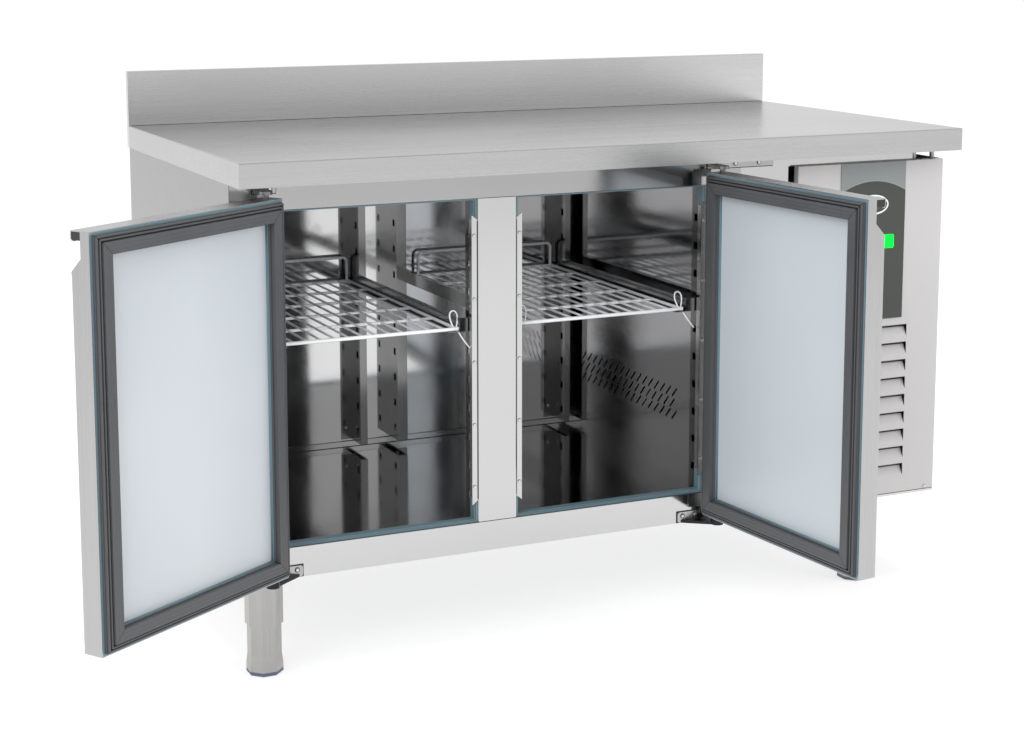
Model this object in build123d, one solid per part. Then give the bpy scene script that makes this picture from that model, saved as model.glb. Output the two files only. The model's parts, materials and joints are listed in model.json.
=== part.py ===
from build123d import *
import math
import os

# Two-door undercounter refrigerator with a side-mounted compressor, doors standing open.
# Everything is drawn with the doors shut, in millimetres, from the floor point under the
# worktop's front left corner: +X runs along the front, +Y to the back and +Z up.
# make_doors() then opens the doors, and main() moves the origin to the middle of the
# outline that everything covers on the floor.

# worktop
WORKTOP_LENGTH = 1360.0
WORKTOP_DEPTH = 690.0
WORKTOP_TOP = 850.0
WORKTOP_EDGE = 40.0
UPSTAND_HEIGHT = 100.0
UPSTAND_THICKNESS = 13.5
SHEET = 1.5

# cabinet
BODY_FRONT = 60.0
BODY_REAR = 680.0
BODY_LEFT = 1.0
BODY_RIGHT = 1358.0
BODY_BOTTOM = 163.0
BODY_TOP = WORKTOP_TOP - WORKTOP_EDGE
COLD_RIGHT = 930.0
FRAME_DEPTH = 27.0
FRAME_REAR = BODY_FRONT + FRAME_DEPTH
OPENINGS = ((65.0, 425.0), (497.0, 863.0))
OPENING_BOTTOM = 214.0
OPENING_TOP = 766.0
BREAK_THICKNESS = 3.0
BREAK_FRONT = 63.4
STRIP_FRONT = 62.2
STRIP_WIDTH = 10.0
STRIP_Z = (244.0, 738.0)
STRIP_SCREW_PITCH = 107.0

# cold compartment
LINER = 1.2
INNER_LEFT = 62.2
INNER_RIGHT = 905.0
INNER_REAR = 625.0
INNER_FLOOR = 215.0
DUCT_WALL = 866.0
RACK_DEPTH = 25.0
POST_FRONT = 570.0
POST_FLANGE = 20.0
POST_GAP = 15.0
POST_WEBS = ((80.0, 1, 13.0), (405.5, -1, 14.0), (502.0, 1, 20.0), (841.0, -1, 11.0))
RACK_SLOT_PITCH = 50.0

# shelves
SHELF_Z = 543.0
SHELF_WIDTH = 317.0
SHELF_FRONT = 90.0
SHELF_REAR = 615.0
SHELF_LEFTS = (86.3, 518.0)
SHELF_WIRES = 13
SHELF_BARS = 5
BAR_R = 3.2
WIRE_R = 2.0
STOP_HEIGHT = 46.0
RUNNER_Z = SHELF_Z - BAR_R - 0.3
RUNNER_WIDTH = 22.0

# doors, drawn shut
DOOR_BOTTOM = 181.0
DOOR_TOP = 791.0
DOOR_HEIGHT = DOOR_TOP - DOOR_BOTTOM
DOOR_THICKNESS = 35.0
DOOR_FRONT = 13.0
DOOR_BACK = DOOR_FRONT + DOOR_THICKNESS
DOOR_SHEET = 1.2
DOOR_SPANS = ((38.0, 459.5), (462.5, 884.0))
HINGE_Y = 25.0
HINGE_XS = (50.0, 872.0)
HINGE_BOSS_R = 11.0
LOW_PLATE_REACH = 62.0
PIN_R = 5.0
PIN_CLEARANCE = 0.05
LEFT_OPEN = 147.0
RIGHT_OPEN = 95.2
HANDLE_HEIGHT = 64.0
POCKET_DEPTH = 18.0
EDGE_FRAME_DEPTH = 6.0
EDGE_FRAME_WIDTH = 36.0
GASKET_INSET = 5.0
GASKET_HEIGHT = 11.5

# compressor compartment
COVER_LEFT = 1040.0
COVER_RIGHT = 1355.0
COVER_FRONT = 46.0
COVER_TOP = 790.0
RAIL_RIGHT = 1296.0
FASCIA_X = (1131.0, 1271.0)
FASCIA_Z = (501.0, 790.0)
FASCIA_CENTRE = 1201.0
LOUVRE_X = (1118.0, 1284.0)
LOUVRE_TOP = 487.0
LOUVRE_PITCH = 33.0
LOUVRE_COUNT = 9
LOUVRE_HEIGHT = 22.0
LOUVRE_SET_BACK = 8.0
LOUVRE_SLIT = 5.5
WINDOW_X = (1143.0, 1259.0)
WINDOW_Z = (515.0, 765.0)
DISPLAY_X = (1154.0, 1248.0)
DISPLAY_Z = (632.0, 657.0)
POWER_Z = 713.0
POWER_HALF_WIDTH = 23.0
POWER_HALF_HEIGHT = 10.5
KEY_XS = (1180.0, 1222.0)
KEY_Z = 608.0
KEY_R = 5.5
BUTTON_PROUD = 3.0
BUTTON_LENGTH = 7.0

# legs
LEG_XS = (55.0, 1212.0)
LEG_YS = (92.0, 620.0)
LEG_FLATS = 58.0
FOOT_FLATS = 52.0
LEG_BOTTOM = 82.0
FOOT_CAP = 7.0

# cold and warm machinery
EVAPORATOR_FAN_YZ = (330.0, 370.0)
EVAPORATOR_FAN_R = 54.0
CONDENSER_FAN_XZ = (1200.0, 335.0)
CONDENSER_FAN_R = 100.0
COMPRESSOR_XY = (1200.0, 430.0)
PIPE_R = 4.0
PIPE_HOLE = (590.0, 560.0)


def block(x0, x1, y0, y1, z0, z1):
    """A rectangular block between two opposite corners."""
    centre = Pos((x0 + x1) / 2, (y0 + y1) / 2, (z0 + z1) / 2)
    return centre * Box(x1 - x0, y1 - y0, z1 - z0)


def rod_x(x0, x1, y, z, radius):
    """A round bar along X."""
    return Pos((x0 + x1) / 2, y, z) * Rot(0, 90, 0) * Cylinder(radius, x1 - x0)


def rod_y(x, y0, y1, z, radius):
    """A round bar along Y."""
    return Pos(x, (y0 + y1) / 2, z) * Rot(90, 0, 0) * Cylinder(radius, y1 - y0)


def rod_z(x, y, z0, z1, radius):
    """A round bar along Z."""
    return Pos(x, y, (z0 + z1) / 2) * Cylinder(radius, z1 - z0)


def octagon(flats, height):
    """An eight-sided bar with flats towards X and Y, standing on z = 0."""
    face = RegularPolygon(flats / 2, 8, major_radius=False, rotation=22.5)
    return extrude(face, height)


def profile_along_x(points, x0, x1):
    """A bar along X whose section is a polygon of (y, z) points."""
    outline = Polyline([(x0, y, z) for y, z in points], close=True)
    return extrude(make_face(outline), x1 - x0, dir=(1, 0, 0))


def ring_in_front(x0, x1, z0, z1, width, y0, y1):
    """A rectangular picture-frame ring that faces the front."""
    outer = block(x0, x1, y0, y1, z0, z1)
    return outer - block(x0 + width, x1 - width, y0 - 1, y1 + 1, z0 + width, z1 - width)


def group(shapes):
    """Separate solids that share one node."""
    return Compound(children=[solid for shape in shapes for solid in shape.solids()])


# ---------------------------------------------------------------- worktop


def make_worktop():
    """Folded steel tray, open underneath, with softened outer folds."""
    rear = WORKTOP_DEPTH - UPSTAND_THICKNESS
    tray = block(0, WORKTOP_LENGTH, 0, rear, BODY_TOP, WORKTOP_TOP)
    folds = tray.edges().filter_by(Axis.X).sort_by(Axis.Z)[-2:].sort_by(Axis.Y)[:1]
    folds += tray.edges().filter_by(Axis.Y).sort_by(Axis.Z)[-2:]
    tray = fillet(folds, 2.0)
    right = WORKTOP_LENGTH - SHEET
    return tray - block(SHEET, right, SHEET, rear, BODY_TOP - 1, WORKTOP_TOP - SHEET)


def make_upstand():
    """Folded splashback along the whole rear edge, hollow behind."""
    front = WORKTOP_DEPTH - UPSTAND_THICKNESS
    top = WORKTOP_TOP + UPSTAND_HEIGHT
    shell = block(0, WORKTOP_LENGTH, front, WORKTOP_DEPTH, BODY_TOP, top)
    shell = fillet(shell.edges().filter_by(Axis.X).sort_by(Axis.Z)[-2:], 1.5)
    hollow = block(
        SHEET,
        WORKTOP_LENGTH - SHEET,
        front + SHEET,
        WORKTOP_DEPTH - SHEET,
        BODY_TOP - 1,
        top - SHEET,
    )
    return shell - hollow


def make_worktop_core():
    """Moisture-resistant board glued inside the worktop tray."""
    rear = WORKTOP_DEPTH - UPSTAND_THICKNESS
    right = WORKTOP_LENGTH - SHEET
    return block(SHEET, right, SHEET, rear, BODY_TOP, WORKTOP_TOP - SHEET)


def make_worktop_spacers():
    """Round plated posts that carry the worktop over the ventilated compartment."""
    spots = [(1304, 68), (1345, 68), (980, 668), (1345, 668)]
    return group([rod_z(x, y, COVER_TOP, BODY_TOP, 4.5) for x, y in spots])


# ---------------------------------------------------------------- outer shell


def make_side_panels():
    """Outer side sheets; the right one stops short so that air leaves over it."""
    left = block(BODY_LEFT, BODY_LEFT + SHEET, BODY_FRONT, BODY_REAR, BODY_BOTTOM, BODY_TOP)
    right = block(BODY_RIGHT - SHEET, BODY_RIGHT, BODY_FRONT, BODY_REAR, BODY_BOTTOM, COVER_TOP)
    lip_back = BODY_FRONT + SHEET
    lip = block(COVER_RIGHT - 24, BODY_RIGHT - SHEET, BODY_FRONT, lip_back, BODY_BOTTOM, COVER_TOP)
    return group([left, right + lip])


def make_rear_panel():
    """Back sheet, stepped down and vented behind the compressor."""
    left = BODY_LEFT + SHEET
    right = BODY_RIGHT - SHEET
    front = BODY_REAR - SHEET
    panel = block(left, COLD_RIGHT, front, BODY_REAR, BODY_BOTTOM, BODY_TOP)
    panel += block(COLD_RIGHT, right, front, BODY_REAR, BODY_BOTTOM, COVER_TOP)
    for row in range(12):
        z = 300 + row * 30
        panel -= block(1000, 1130, front - 1, BODY_REAR + 1, z, z + 6)
        panel -= block(1170, 1300, front - 1, BODY_REAR + 1, z, z + 6)
    return panel - rod_y(1120, front - 1, BODY_REAR + 1, 230, 9)


def make_base_panels():
    """Underside of the cold box, and the tray that the compressor stands on."""
    left = BODY_LEFT + SHEET
    right = BODY_RIGHT - SHEET
    rear = BODY_REAR - SHEET
    cold = block(left, COLD_RIGHT, FRAME_REAR, rear, BODY_BOTTOM, BODY_BOTTOM + SHEET)
    warm = block(COLD_RIGHT, right, BODY_FRONT + 2 * SHEET, rear, BODY_BOTTOM, BODY_BOTTOM + SHEET)
    warm -= block(1090, 1310, 125, 200, BODY_BOTTOM - 1, BODY_BOTTOM + SHEET + 1)
    return group([cold, warm])


def make_partition_panel():
    """Sheet between the cold box and the compressor, with a hole for the pipes."""
    panel = block(
        COLD_RIGHT - SHEET, COLD_RIGHT, FRAME_REAR, BODY_REAR - SHEET, BODY_BOTTOM + SHEET, BODY_TOP
    )
    return panel - pipe_hole()


def pipe_hole():
    """The passage for both refrigerant pipes through the right wall."""
    y, z = PIPE_HOLE
    return rod_x(INNER_RIGHT - 5, COLD_RIGHT + 5, y, z, 16)


def make_insulation():
    """Foamed-in-place polyurethane round the liner, on five sides."""
    outer = block(
        BODY_LEFT + SHEET,
        COLD_RIGHT - SHEET,
        FRAME_REAR,
        BODY_REAR - SHEET,
        BODY_BOTTOM + SHEET,
        BODY_TOP,
    )
    hollow = block(
        INNER_LEFT - LINER,
        INNER_RIGHT + LINER,
        0,
        INNER_REAR + LINER,
        INNER_FLOOR - LINER,
        OPENING_TOP + LINER,
    )
    return outer - hollow - pipe_hole()


# ---------------------------------------------------------------- front frame


def make_top_rail():
    """Channel above both openings."""
    left = BODY_LEFT + SHEET
    back = BODY_FRONT + SHEET
    rail = block(left, COLD_RIGHT, BODY_FRONT, back, OPENING_TOP, BODY_TOP)
    rail += block(left, COLD_RIGHT, back, FRAME_REAR, OPENING_TOP, OPENING_TOP + SHEET)
    rail += block(left, COLD_RIGHT, back, FRAME_REAR, BODY_TOP - SHEET, BODY_TOP)
    return rail


def make_lower_rail():
    """Channel under both openings; the hinges' lower brackets are screwed to it."""
    left = BODY_LEFT + SHEET
    back = BODY_FRONT + SHEET
    rail = block(left, COLD_RIGHT, BODY_FRONT, back, BODY_BOTTOM, OPENING_BOTTOM)
    rail += block(left, COLD_RIGHT, back, FRAME_REAR, BODY_BOTTOM, BODY_BOTTOM + SHEET)
    rail += block(left, COLD_RIGHT, back, FRAME_REAR, OPENING_BOTTOM - SHEET, OPENING_BOTTOM)
    return rail


def upright(x0, x1, left_return, right_return):
    """A folded upright of the front frame with its long edges rounded."""
    post = block(x0, x1, BODY_FRONT, FRAME_REAR, OPENING_BOTTOM, OPENING_TOP)
    front_edges = post.edges().filter_by(Axis.Z).sort_by(Axis.Y)[:2]
    post = fillet(front_edges, 3.0)
    cut_left = x0 + (SHEET if left_return else -1)
    cut_right = x1 - (SHEET if right_return else -1)
    inside = block(
        cut_left, cut_right, BODY_FRONT + SHEET, FRAME_REAR + 1, OPENING_BOTTOM - 1, OPENING_TOP + 1
    )
    return post - inside


def make_jambs():
    """Outer uprights at the far left and right of the two openings."""
    left = upright(BODY_LEFT + SHEET, OPENINGS[0][0], False, True)
    right = upright(OPENINGS[1][1], COLD_RIGHT, True, True)
    return group([left, right])


def make_mullion():
    """Centre upright that both doors close on."""
    return upright(OPENINGS[0][1], OPENINGS[1][0], True, True)


def make_thermal_breaks():
    """Plastic linings of both openings, between the frame and the cold liner."""
    return group(
        [
            ring_in_front(
                x0, x1, OPENING_BOTTOM, OPENING_TOP, BREAK_THICKNESS, BREAK_FRONT, FRAME_REAR
            )
            for x0, x1 in OPENINGS
        ]
    )


def make_jamb_strips():
    """Bright angle strips over the linings' uprights; the front leg's ends are cut at a slant."""
    strips = []
    back = STRIP_FRONT + LINER
    z0, z1 = STRIP_Z
    for x0, x1 in OPENINGS:
        for wall, side in ((x0, 1), (x1, -1)):
            tip = wall + side * STRIP_WIDTH
            corners = [(wall, z0 + 8), (tip, z0), (tip, z1), (wall, z1 - 8)]
            outline = Polyline([(x, STRIP_FRONT, z) for x, z in corners], close=True)
            strip = extrude(make_face(outline), LINER, dir=(0, 1, 0))
            near = wall + side * BREAK_THICKNESS
            far = near + side * LINER
            strip += block(min(near, far), max(near, far), back, FRAME_REAR - 2, z0 + 10, z1 - 10)
            strips.append(strip)
    return group(strips)


# ---------------------------------------------------------------- cold compartment


def make_inner_liner():
    """Floor, ceiling, rear and side sheets of the cold compartment."""
    left = INNER_LEFT - LINER
    right = INNER_RIGHT + LINER
    rear = INNER_REAR + LINER
    floor = block(left, right, FRAME_REAR, rear, INNER_FLOOR - LINER, INNER_FLOOR)
    ceiling = block(left, right, FRAME_REAR, rear, OPENING_TOP, OPENING_TOP + LINER)
    back = block(left, right, INNER_REAR, rear, INNER_FLOOR, OPENING_TOP)
    left_wall = block(left, INNER_LEFT, FRAME_REAR, INNER_REAR, INNER_FLOOR, OPENING_TOP)
    right_wall = block(INNER_RIGHT, right, FRAME_REAR, INNER_REAR, INNER_FLOOR, OPENING_TOP)
    return group([floor, ceiling, back, left_wall, right_wall - pipe_hole()])


def make_evaporator_cover():
    """Air duct wall with three rows of slanted slots and a folded foot."""
    wall = block(
        DUCT_WALL, DUCT_WALL + LINER, FRAME_REAR + RACK_DEPTH, INNER_REAR, INNER_FLOOR, OPENING_TOP
    )
    slots = []
    for row in range(3):
        z = 372 - row * 21
        for column in range(17):
            y = 172 + column * 22.5 + (row % 2) * 8
            slot = Rot(45, 0, 0) * Box(6, 4, 25)
            slots.append(Pos(DUCT_WALL + 0.5, y, z) * slot)
    # the air goes back to the duct over the top of the wall
    slots.append(block(DUCT_WALL - 1, DUCT_WALL + 2, 265, 560, 735, OPENING_TOP + 1))
    return wall - slots


def make_front_rack_rails():
    """Slotted uprights behind the front frame that the shelf runners hook into."""
    y0 = FRAME_REAR
    y1 = FRAME_REAR + RACK_DEPTH
    z0 = INNER_FLOOR + 1
    z1 = OPENING_TOP - 1
    left = block(INNER_LEFT, OPENINGS[0][0], y0, y1, z0, z1)
    centre = block(OPENINGS[0][1], OPENINGS[1][0], y0, y1, z0, z1)
    inner = block(OPENINGS[0][1] + SHEET, OPENINGS[1][0] - SHEET, y0 + SHEET, y1 + 1, z0 - 1, z1 + 1)
    right = block(OPENINGS[1][1], DUCT_WALL + LINER, y0, y1, z0, z1)
    rails = [left, centre - inner, right]
    slots = rack_slots(y0 + 6, y0 + 17, INNER_LEFT - 1, DUCT_WALL + LINER + 1)
    return group([rail - slots for rail in rails])


def rack_slots(y0, y1, x0, x1):
    """A column of hook slots, right through along X."""
    slots = []
    for row in range(int((OPENING_TOP - INNER_FLOOR - 40) / RACK_SLOT_PITCH)):
        z = INNER_FLOOR + 32 + row * RACK_SLOT_PITCH
        slots.append(block(x0, x1, y0, y1, z, z + 13))
    return slots


def make_rear_rack_posts():
    """Four folded posts on the rear wall, each with one slotted web."""
    z0 = INNER_FLOOR + POST_GAP
    z1 = OPENING_TOP - 1
    posts = []
    for web, side, face in POST_WEBS:
        # side is the way that the slotted web looks; the face runs back from it
        back = web - side * face
        outer = block(min(web, back), max(web, back), POST_FRONT, INNER_REAR, z0, z1)
        inner = block(
            min(web, back) + SHEET,
            max(web, back) - SHEET,
            POST_FRONT + SHEET,
            INNER_REAR + 1,
            z0 - 1,
            z1 + 1,
        )
        tip = web + side * POST_FLANGE
        flange = block(min(web, tip), max(web, tip), INNER_REAR - SHEET, INNER_REAR, z0, z1)
        slots = rack_slots(POST_FRONT + 9, POST_FRONT + 19, min(web, back) - 1, max(web, back) + 1)
        posts.append((outer - inner - slots) + flange)
    return group(posts)


def make_shelf_runners():
    """Four angle slides, from the front rails to the rear posts."""
    runners = []
    y0 = FRAME_REAR + 2
    y1 = POST_FRONT + 30
    low = RUNNER_Z - LINER
    high = RUNNER_Z + 22
    walls = [x for opening in OPENINGS for x in opening]
    for (web, side, _), wall in zip(POST_WEBS, walls):
        leg = web + side * LINER
        toe = web + side * RUNNER_WIDTH
        runner = block(min(web, leg), max(web, leg), y0, y1, low, high)
        runner += block(min(web, toe), max(web, toe), y0, y1, low, RUNNER_Z)
        # a tab turns sideways to the front rail's slots
        runner += block(min(wall, leg), max(wall, leg), y0, y0 + LINER, low, high)
        runners.append(runner)
    return group(runners)


def make_shelf(left):
    """Plastic-coated wire shelf: rim, cross bars, long wires and a raised rear stop."""
    right = left + SHELF_WIDTH
    top = SHELF_Z + BAR_R - WIRE_R
    x0 = left + BAR_R
    x1 = right - BAR_R
    wires = [
        rod_x(left + 1, right - 1, SHELF_FRONT + BAR_R, SHELF_Z, BAR_R),
        rod_x(left + 1, right - 1, SHELF_REAR - BAR_R, SHELF_Z, BAR_R),
        rod_y(x0, SHELF_FRONT + 1, SHELF_REAR - 1, SHELF_Z, BAR_R),
        rod_y(x1, SHELF_FRONT + 1, SHELF_REAR - 1, SHELF_Z, BAR_R),
    ]
    for bar in range(1, SHELF_BARS):
        y = SHELF_FRONT + BAR_R + bar * (SHELF_REAR - SHELF_FRONT - 2 * BAR_R) / SHELF_BARS
        wires.append(rod_x(x0, x1, y, SHELF_Z - 0.4, 2.6))
    for wire in range(1, SHELF_WIRES):
        x = x0 + wire * (x1 - x0) / SHELF_WIRES
        wires.append(rod_y(x, SHELF_FRONT + BAR_R, SHELF_REAR - BAR_R, top, WIRE_R))
    grid = wires[0].fuse(*wires[1:])
    return grid + stop_bar(left, right)


def stop_bar(left, right):
    """The raised bar that keeps food off the rear wall."""
    y = SHELF_REAR - BAR_R
    z0 = SHELF_Z
    z1 = SHELF_Z + STOP_HEIGHT
    x0 = left + 25
    x1 = right - 7
    path = FilletPolyline((x0, y, z0), (x0, y, z1), (x1, y, z1), (x1, y, z0), radius=9)
    section = Plane(origin=(x0, y, z0), z_dir=(0, 0, 1)) * Circle(2.8)
    return sweep(section, path=path)


# ---------------------------------------------------------------- doors, drawn shut


def handle_outline():
    """Section of the pull: a hooked lip over a pocket that slopes back out."""
    front = DOOR_FRONT
    wall = front + POCKET_DEPTH
    top = DOOR_TOP
    return [
        (front, top),
        (front, top - 12),
        (front + 3, top - 15),
        (front + 6, top - 15),
        (front + 6, top - 13.5),
        (front + 3.6, top - 13.5),
        (front + 1.5, top - 11.4),
        (front + 1.5, top - 1.5),
        (wall, top - 1.5),
        (wall, top - 39),
        (front, top - 58),
        (front, top - HANDLE_HEIGHT),
        (front + DOOR_SHEET, top - HANDLE_HEIGHT),
        (front + DOOR_SHEET, top - 58.5),
        (wall + DOOR_SHEET, top - 39.5),
        (wall + DOOR_SHEET, top - DOOR_SHEET),
        (DOOR_BACK, top - DOOR_SHEET),
        (DOOR_BACK, top),
    ]


def pocket_section(extra):
    """Section of the solid part of the door behind the pull's pocket."""
    front = DOOR_FRONT
    wall = front + POCKET_DEPTH
    top = DOOR_TOP
    return [
        (front + extra, top - HANDLE_HEIGHT),
        (front + extra, top - 58 - 0.5 * extra / DOOR_SHEET),
        (wall + extra, top - 39 - 0.5 * extra / DOOR_SHEET),
        (wall + extra, top - DOOR_SHEET),
        (DOOR_BACK, top - DOOR_SHEET),
        (DOOR_BACK, top - HANDLE_HEIGHT),
    ]


def make_door_handle(x0, x1, hinge_x):
    """Folded full-width pull along the door's top, closed by an end plate at each side."""
    pull = profile_along_x(handle_outline(), x0, x1)
    for plate_x in (x0, x1 - DOOR_SHEET):
        pull += profile_along_x(pocket_section(0.0), plate_x, plate_x + DOOR_SHEET)
    # a block inside the lip carries the upper hinge pin
    low = max(x0, hinge_x - 12)
    high = min(x1, hinge_x + 12)
    boss = block(low, high, DOOR_FRONT + 1, DOOR_FRONT + 18.5, DOOR_TOP - 13, DOOR_TOP - 1)
    bore = rod_z(hinge_x, HINGE_Y, DOOR_TOP - 20, DOOR_TOP + 1, PIN_R + PIN_CLEARANCE)
    return (pull + boss) - bore


def make_door_skin(x0, x1, hinge_x):
    """Outer pan under the pull, folded on three sides and open at the back."""
    top = DOOR_TOP - HANDLE_HEIGHT
    pan = block(x0, x1, DOOR_FRONT, DOOR_BACK, DOOR_BOTTOM, top)
    pan = fillet(pan.edges().filter_by(Axis.Z).sort_by(Axis.Y)[:2], 1.0)
    pan -= block(
        x0 + DOOR_SHEET,
        x1 - DOOR_SHEET,
        DOOR_FRONT + DOOR_SHEET,
        DOOR_BACK + 1,
        DOOR_BOTTOM + DOOR_SHEET,
        top + 1,
    )
    # a thick pad in the floor of the pan carries the lower hinge pin
    low = max(x0, hinge_x - 12)
    high = min(x1, hinge_x + 12)
    pan += block(low, high, DOOR_FRONT + 1, DOOR_FRONT + 24, DOOR_BOTTOM, DOOR_BOTTOM + 12)
    return pan - rod_z(hinge_x, HINGE_Y, DOOR_BOTTOM - 1, DOOR_BOTTOM + 20, PIN_R + PIN_CLEARANCE)


def make_door_foam(x0, x1, hinge_x):
    """Insulating core between the pan and the inner panel."""
    left = x0 + DOOR_SHEET
    right = x1 - DOOR_SHEET
    top = DOOR_TOP - HANDLE_HEIGHT
    front = DOOR_FRONT + DOOR_SHEET
    back = DOOR_BACK - EDGE_FRAME_DEPTH
    core = block(left, right, front, back, DOOR_BOTTOM + DOOR_SHEET, top)
    upper = profile_along_x(pocket_section(DOOR_SHEET), left, right)
    upper -= block(left - 1, right + 1, back, DOOR_BACK + 1, top - 1, DOOR_TOP)
    pad = block(hinge_x - 13, hinge_x + 13, 0, DOOR_FRONT + 25, DOOR_BOTTOM, DOOR_BOTTOM + 22)
    return core + upper - pad


def make_door_edge_frame(x0, x1):
    """Plastic edge profile all round the back of the door; the gasket plugs into it."""
    return ring_in_front(
        x0 + DOOR_SHEET,
        x1 - DOOR_SHEET,
        DOOR_BOTTOM + DOOR_SHEET,
        DOOR_TOP - DOOR_SHEET,
        EDGE_FRAME_WIDTH - DOOR_SHEET,
        DOOR_BACK - EDGE_FRAME_DEPTH,
        DOOR_BACK,
    )


def make_door_liner(x0, x1):
    """Smooth inner panel, set a little below the edge profile."""
    inset = EDGE_FRAME_WIDTH
    y = DOOR_BACK - EDGE_FRAME_DEPTH
    return block(x0 + inset, x1 - inset, y, y + SHEET, DOOR_BOTTOM + inset, DOOR_TOP - inset)


def make_door_gasket(x0, x1):
    """Magnetic seal with a flat foot, two thin outer ribs and a wide bulb."""

    def ribbon(inset, width, height):
        return ring_in_front(
            x0 + inset,
            x1 - inset,
            DOOR_BOTTOM + inset,
            DOOR_TOP - inset,
            width,
            DOOR_BACK,
            DOOR_BACK + height,
        )

    seal = ribbon(GASKET_INSET, EDGE_FRAME_WIDTH - GASKET_INSET, 4.0)
    seal += ribbon(GASKET_INSET + 1.5, 2.5, 8.0)
    seal += ribbon(GASKET_INSET + 6, 2.5, 9.0)
    seal += ribbon(GASKET_INSET + 11, 18, GASKET_HEIGHT)
    return seal


def make_hinge_brackets():
    """Four angle brackets, each with its pin, screwed to the front rails."""
    arm_t = 5.0
    plate_t = 2.5
    plate_y = BODY_FRONT - plate_t
    arm_z_low = BODY_BOTTOM + 1
    boss_top = DOOR_BOTTOM - 4
    arm_z_high = DOOR_TOP + 6
    brackets = []
    for hinge_x, side in zip(HINGE_XS, (1, -1)):
        near = hinge_x - side * HINGE_BOSS_R
        ends = sorted((near, hinge_x + side * LOW_PLATE_REACH))
        low_plate = block(ends[0], ends[1], plate_y, BODY_FRONT, arm_z_low, BODY_BOTTOM + 20)
        free_end = low_plate.edges().filter_by(Axis.Y).sort_by(Axis.X)
        low_plate = fillet(free_end[-2:] if side > 0 else free_end[:2], 5.0)
        # the lower arm is a gusset as wide as its plate at the rail
        gusset = [
            (near, HINGE_Y),
            (near, plate_y),
            (hinge_x + side * (LOW_PLATE_REACH - 6), plate_y),
            (hinge_x + side * HINGE_BOSS_R, HINGE_Y),
        ]
        gusset_face = make_face(Polyline([(x, y, arm_z_low) for x, y in gusset], close=True))
        low_arm = extrude(gusset_face, arm_t, dir=(0, 0, 1))
        low_arm += rod_z(hinge_x, HINGE_Y, arm_z_low, boss_top, HINGE_BOSS_R)
        low_pin = rod_z(hinge_x, HINGE_Y, boss_top, DOOR_BOTTOM + 18, PIN_R)
        brackets.append(low_plate + low_arm + low_pin)

        reach = 27 if side > 0 else 122
        ends = (hinge_x - HINGE_BOSS_R, hinge_x + reach)
        high_plate = block(ends[0], ends[1], plate_y, BODY_FRONT, arm_z_high - 3, BODY_TOP - 1)
        sides = (hinge_x - HINGE_BOSS_R, hinge_x + HINGE_BOSS_R)
        high_arm = block(*sides, HINGE_Y, plate_y, arm_z_high, arm_z_high + arm_t)
        high_arm += rod_z(hinge_x, HINGE_Y, arm_z_high, arm_z_high + arm_t, HINGE_BOSS_R)
        high_pin = rod_z(hinge_x, HINGE_Y, DOOR_TOP - 12, arm_z_high, PIN_R)
        brackets.append(high_plate + high_arm + high_pin)
    return group(brackets)


# ---------------------------------------------------------------- legs


def make_leg_tubes():
    """Fixed eight-sided upper legs, necked in at the bottom and closed on top."""
    legs = []
    height = BODY_BOTTOM - LEG_BOTTOM
    for x in LEG_XS:
        for y in LEG_YS:
            tube = octagon(LEG_FLATS, height)
            tube = chamfer(tube.faces().sort_by(Axis.Z)[0].edges(), 2.0, 6.0)
            tube -= Pos(0, 0, -1) * octagon(FOOT_FLATS + 0.6, height - 4)
            legs.append(Pos(x, y, LEG_BOTTOM) * tube)
    return group(legs)


def make_foot(x, y):
    """Sliding lower leg, flared to a plastic cap that stands on the floor."""
    cap = chamfer(octagon(56.0, FOOT_CAP).faces().sort_by(Axis.Z)[0].edges(), 2.0)
    neck = Pos(0, 0, FOOT_CAP) * octagon(FOOT_FLATS, 120)
    skirt_face = RegularPolygon(28.0, 8, major_radius=False, rotation=22.5)
    neck_face = RegularPolygon(FOOT_FLATS / 2, 8, major_radius=False, rotation=22.5)
    skirt = Pos(0, 0, FOOT_CAP) * octagon(56.0, 9)
    flare = loft([Pos(0, 0, FOOT_CAP + 9) * skirt_face, Pos(0, 0, FOOT_CAP + 26) * neck_face])
    return Pos(x, y, 0) * (cap + skirt + flare + neck)


# ---------------------------------------------------------------- compressor compartment


def make_compartment_front():
    """Fixed front sheet beside the doors, turned in, with a rail on over the cover."""
    back = BODY_FRONT + SHEET
    sheet = block(COLD_RIGHT, COVER_LEFT - 12, BODY_FRONT, back, BODY_BOTTOM, COVER_TOP)
    right = COVER_LEFT - 12
    turned = block(right - SHEET, right, back, back + 25, BODY_BOTTOM + SHEET, COVER_TOP)
    rail_top = BODY_TOP - 4
    rail = block(COLD_RIGHT, RAIL_RIGHT, BODY_FRONT, back, COVER_TOP, rail_top)
    rail += block(COLD_RIGHT, RAIL_RIGHT, back, back + 25, rail_top - SHEET, rail_top)
    return sheet + turned + rail


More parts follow.
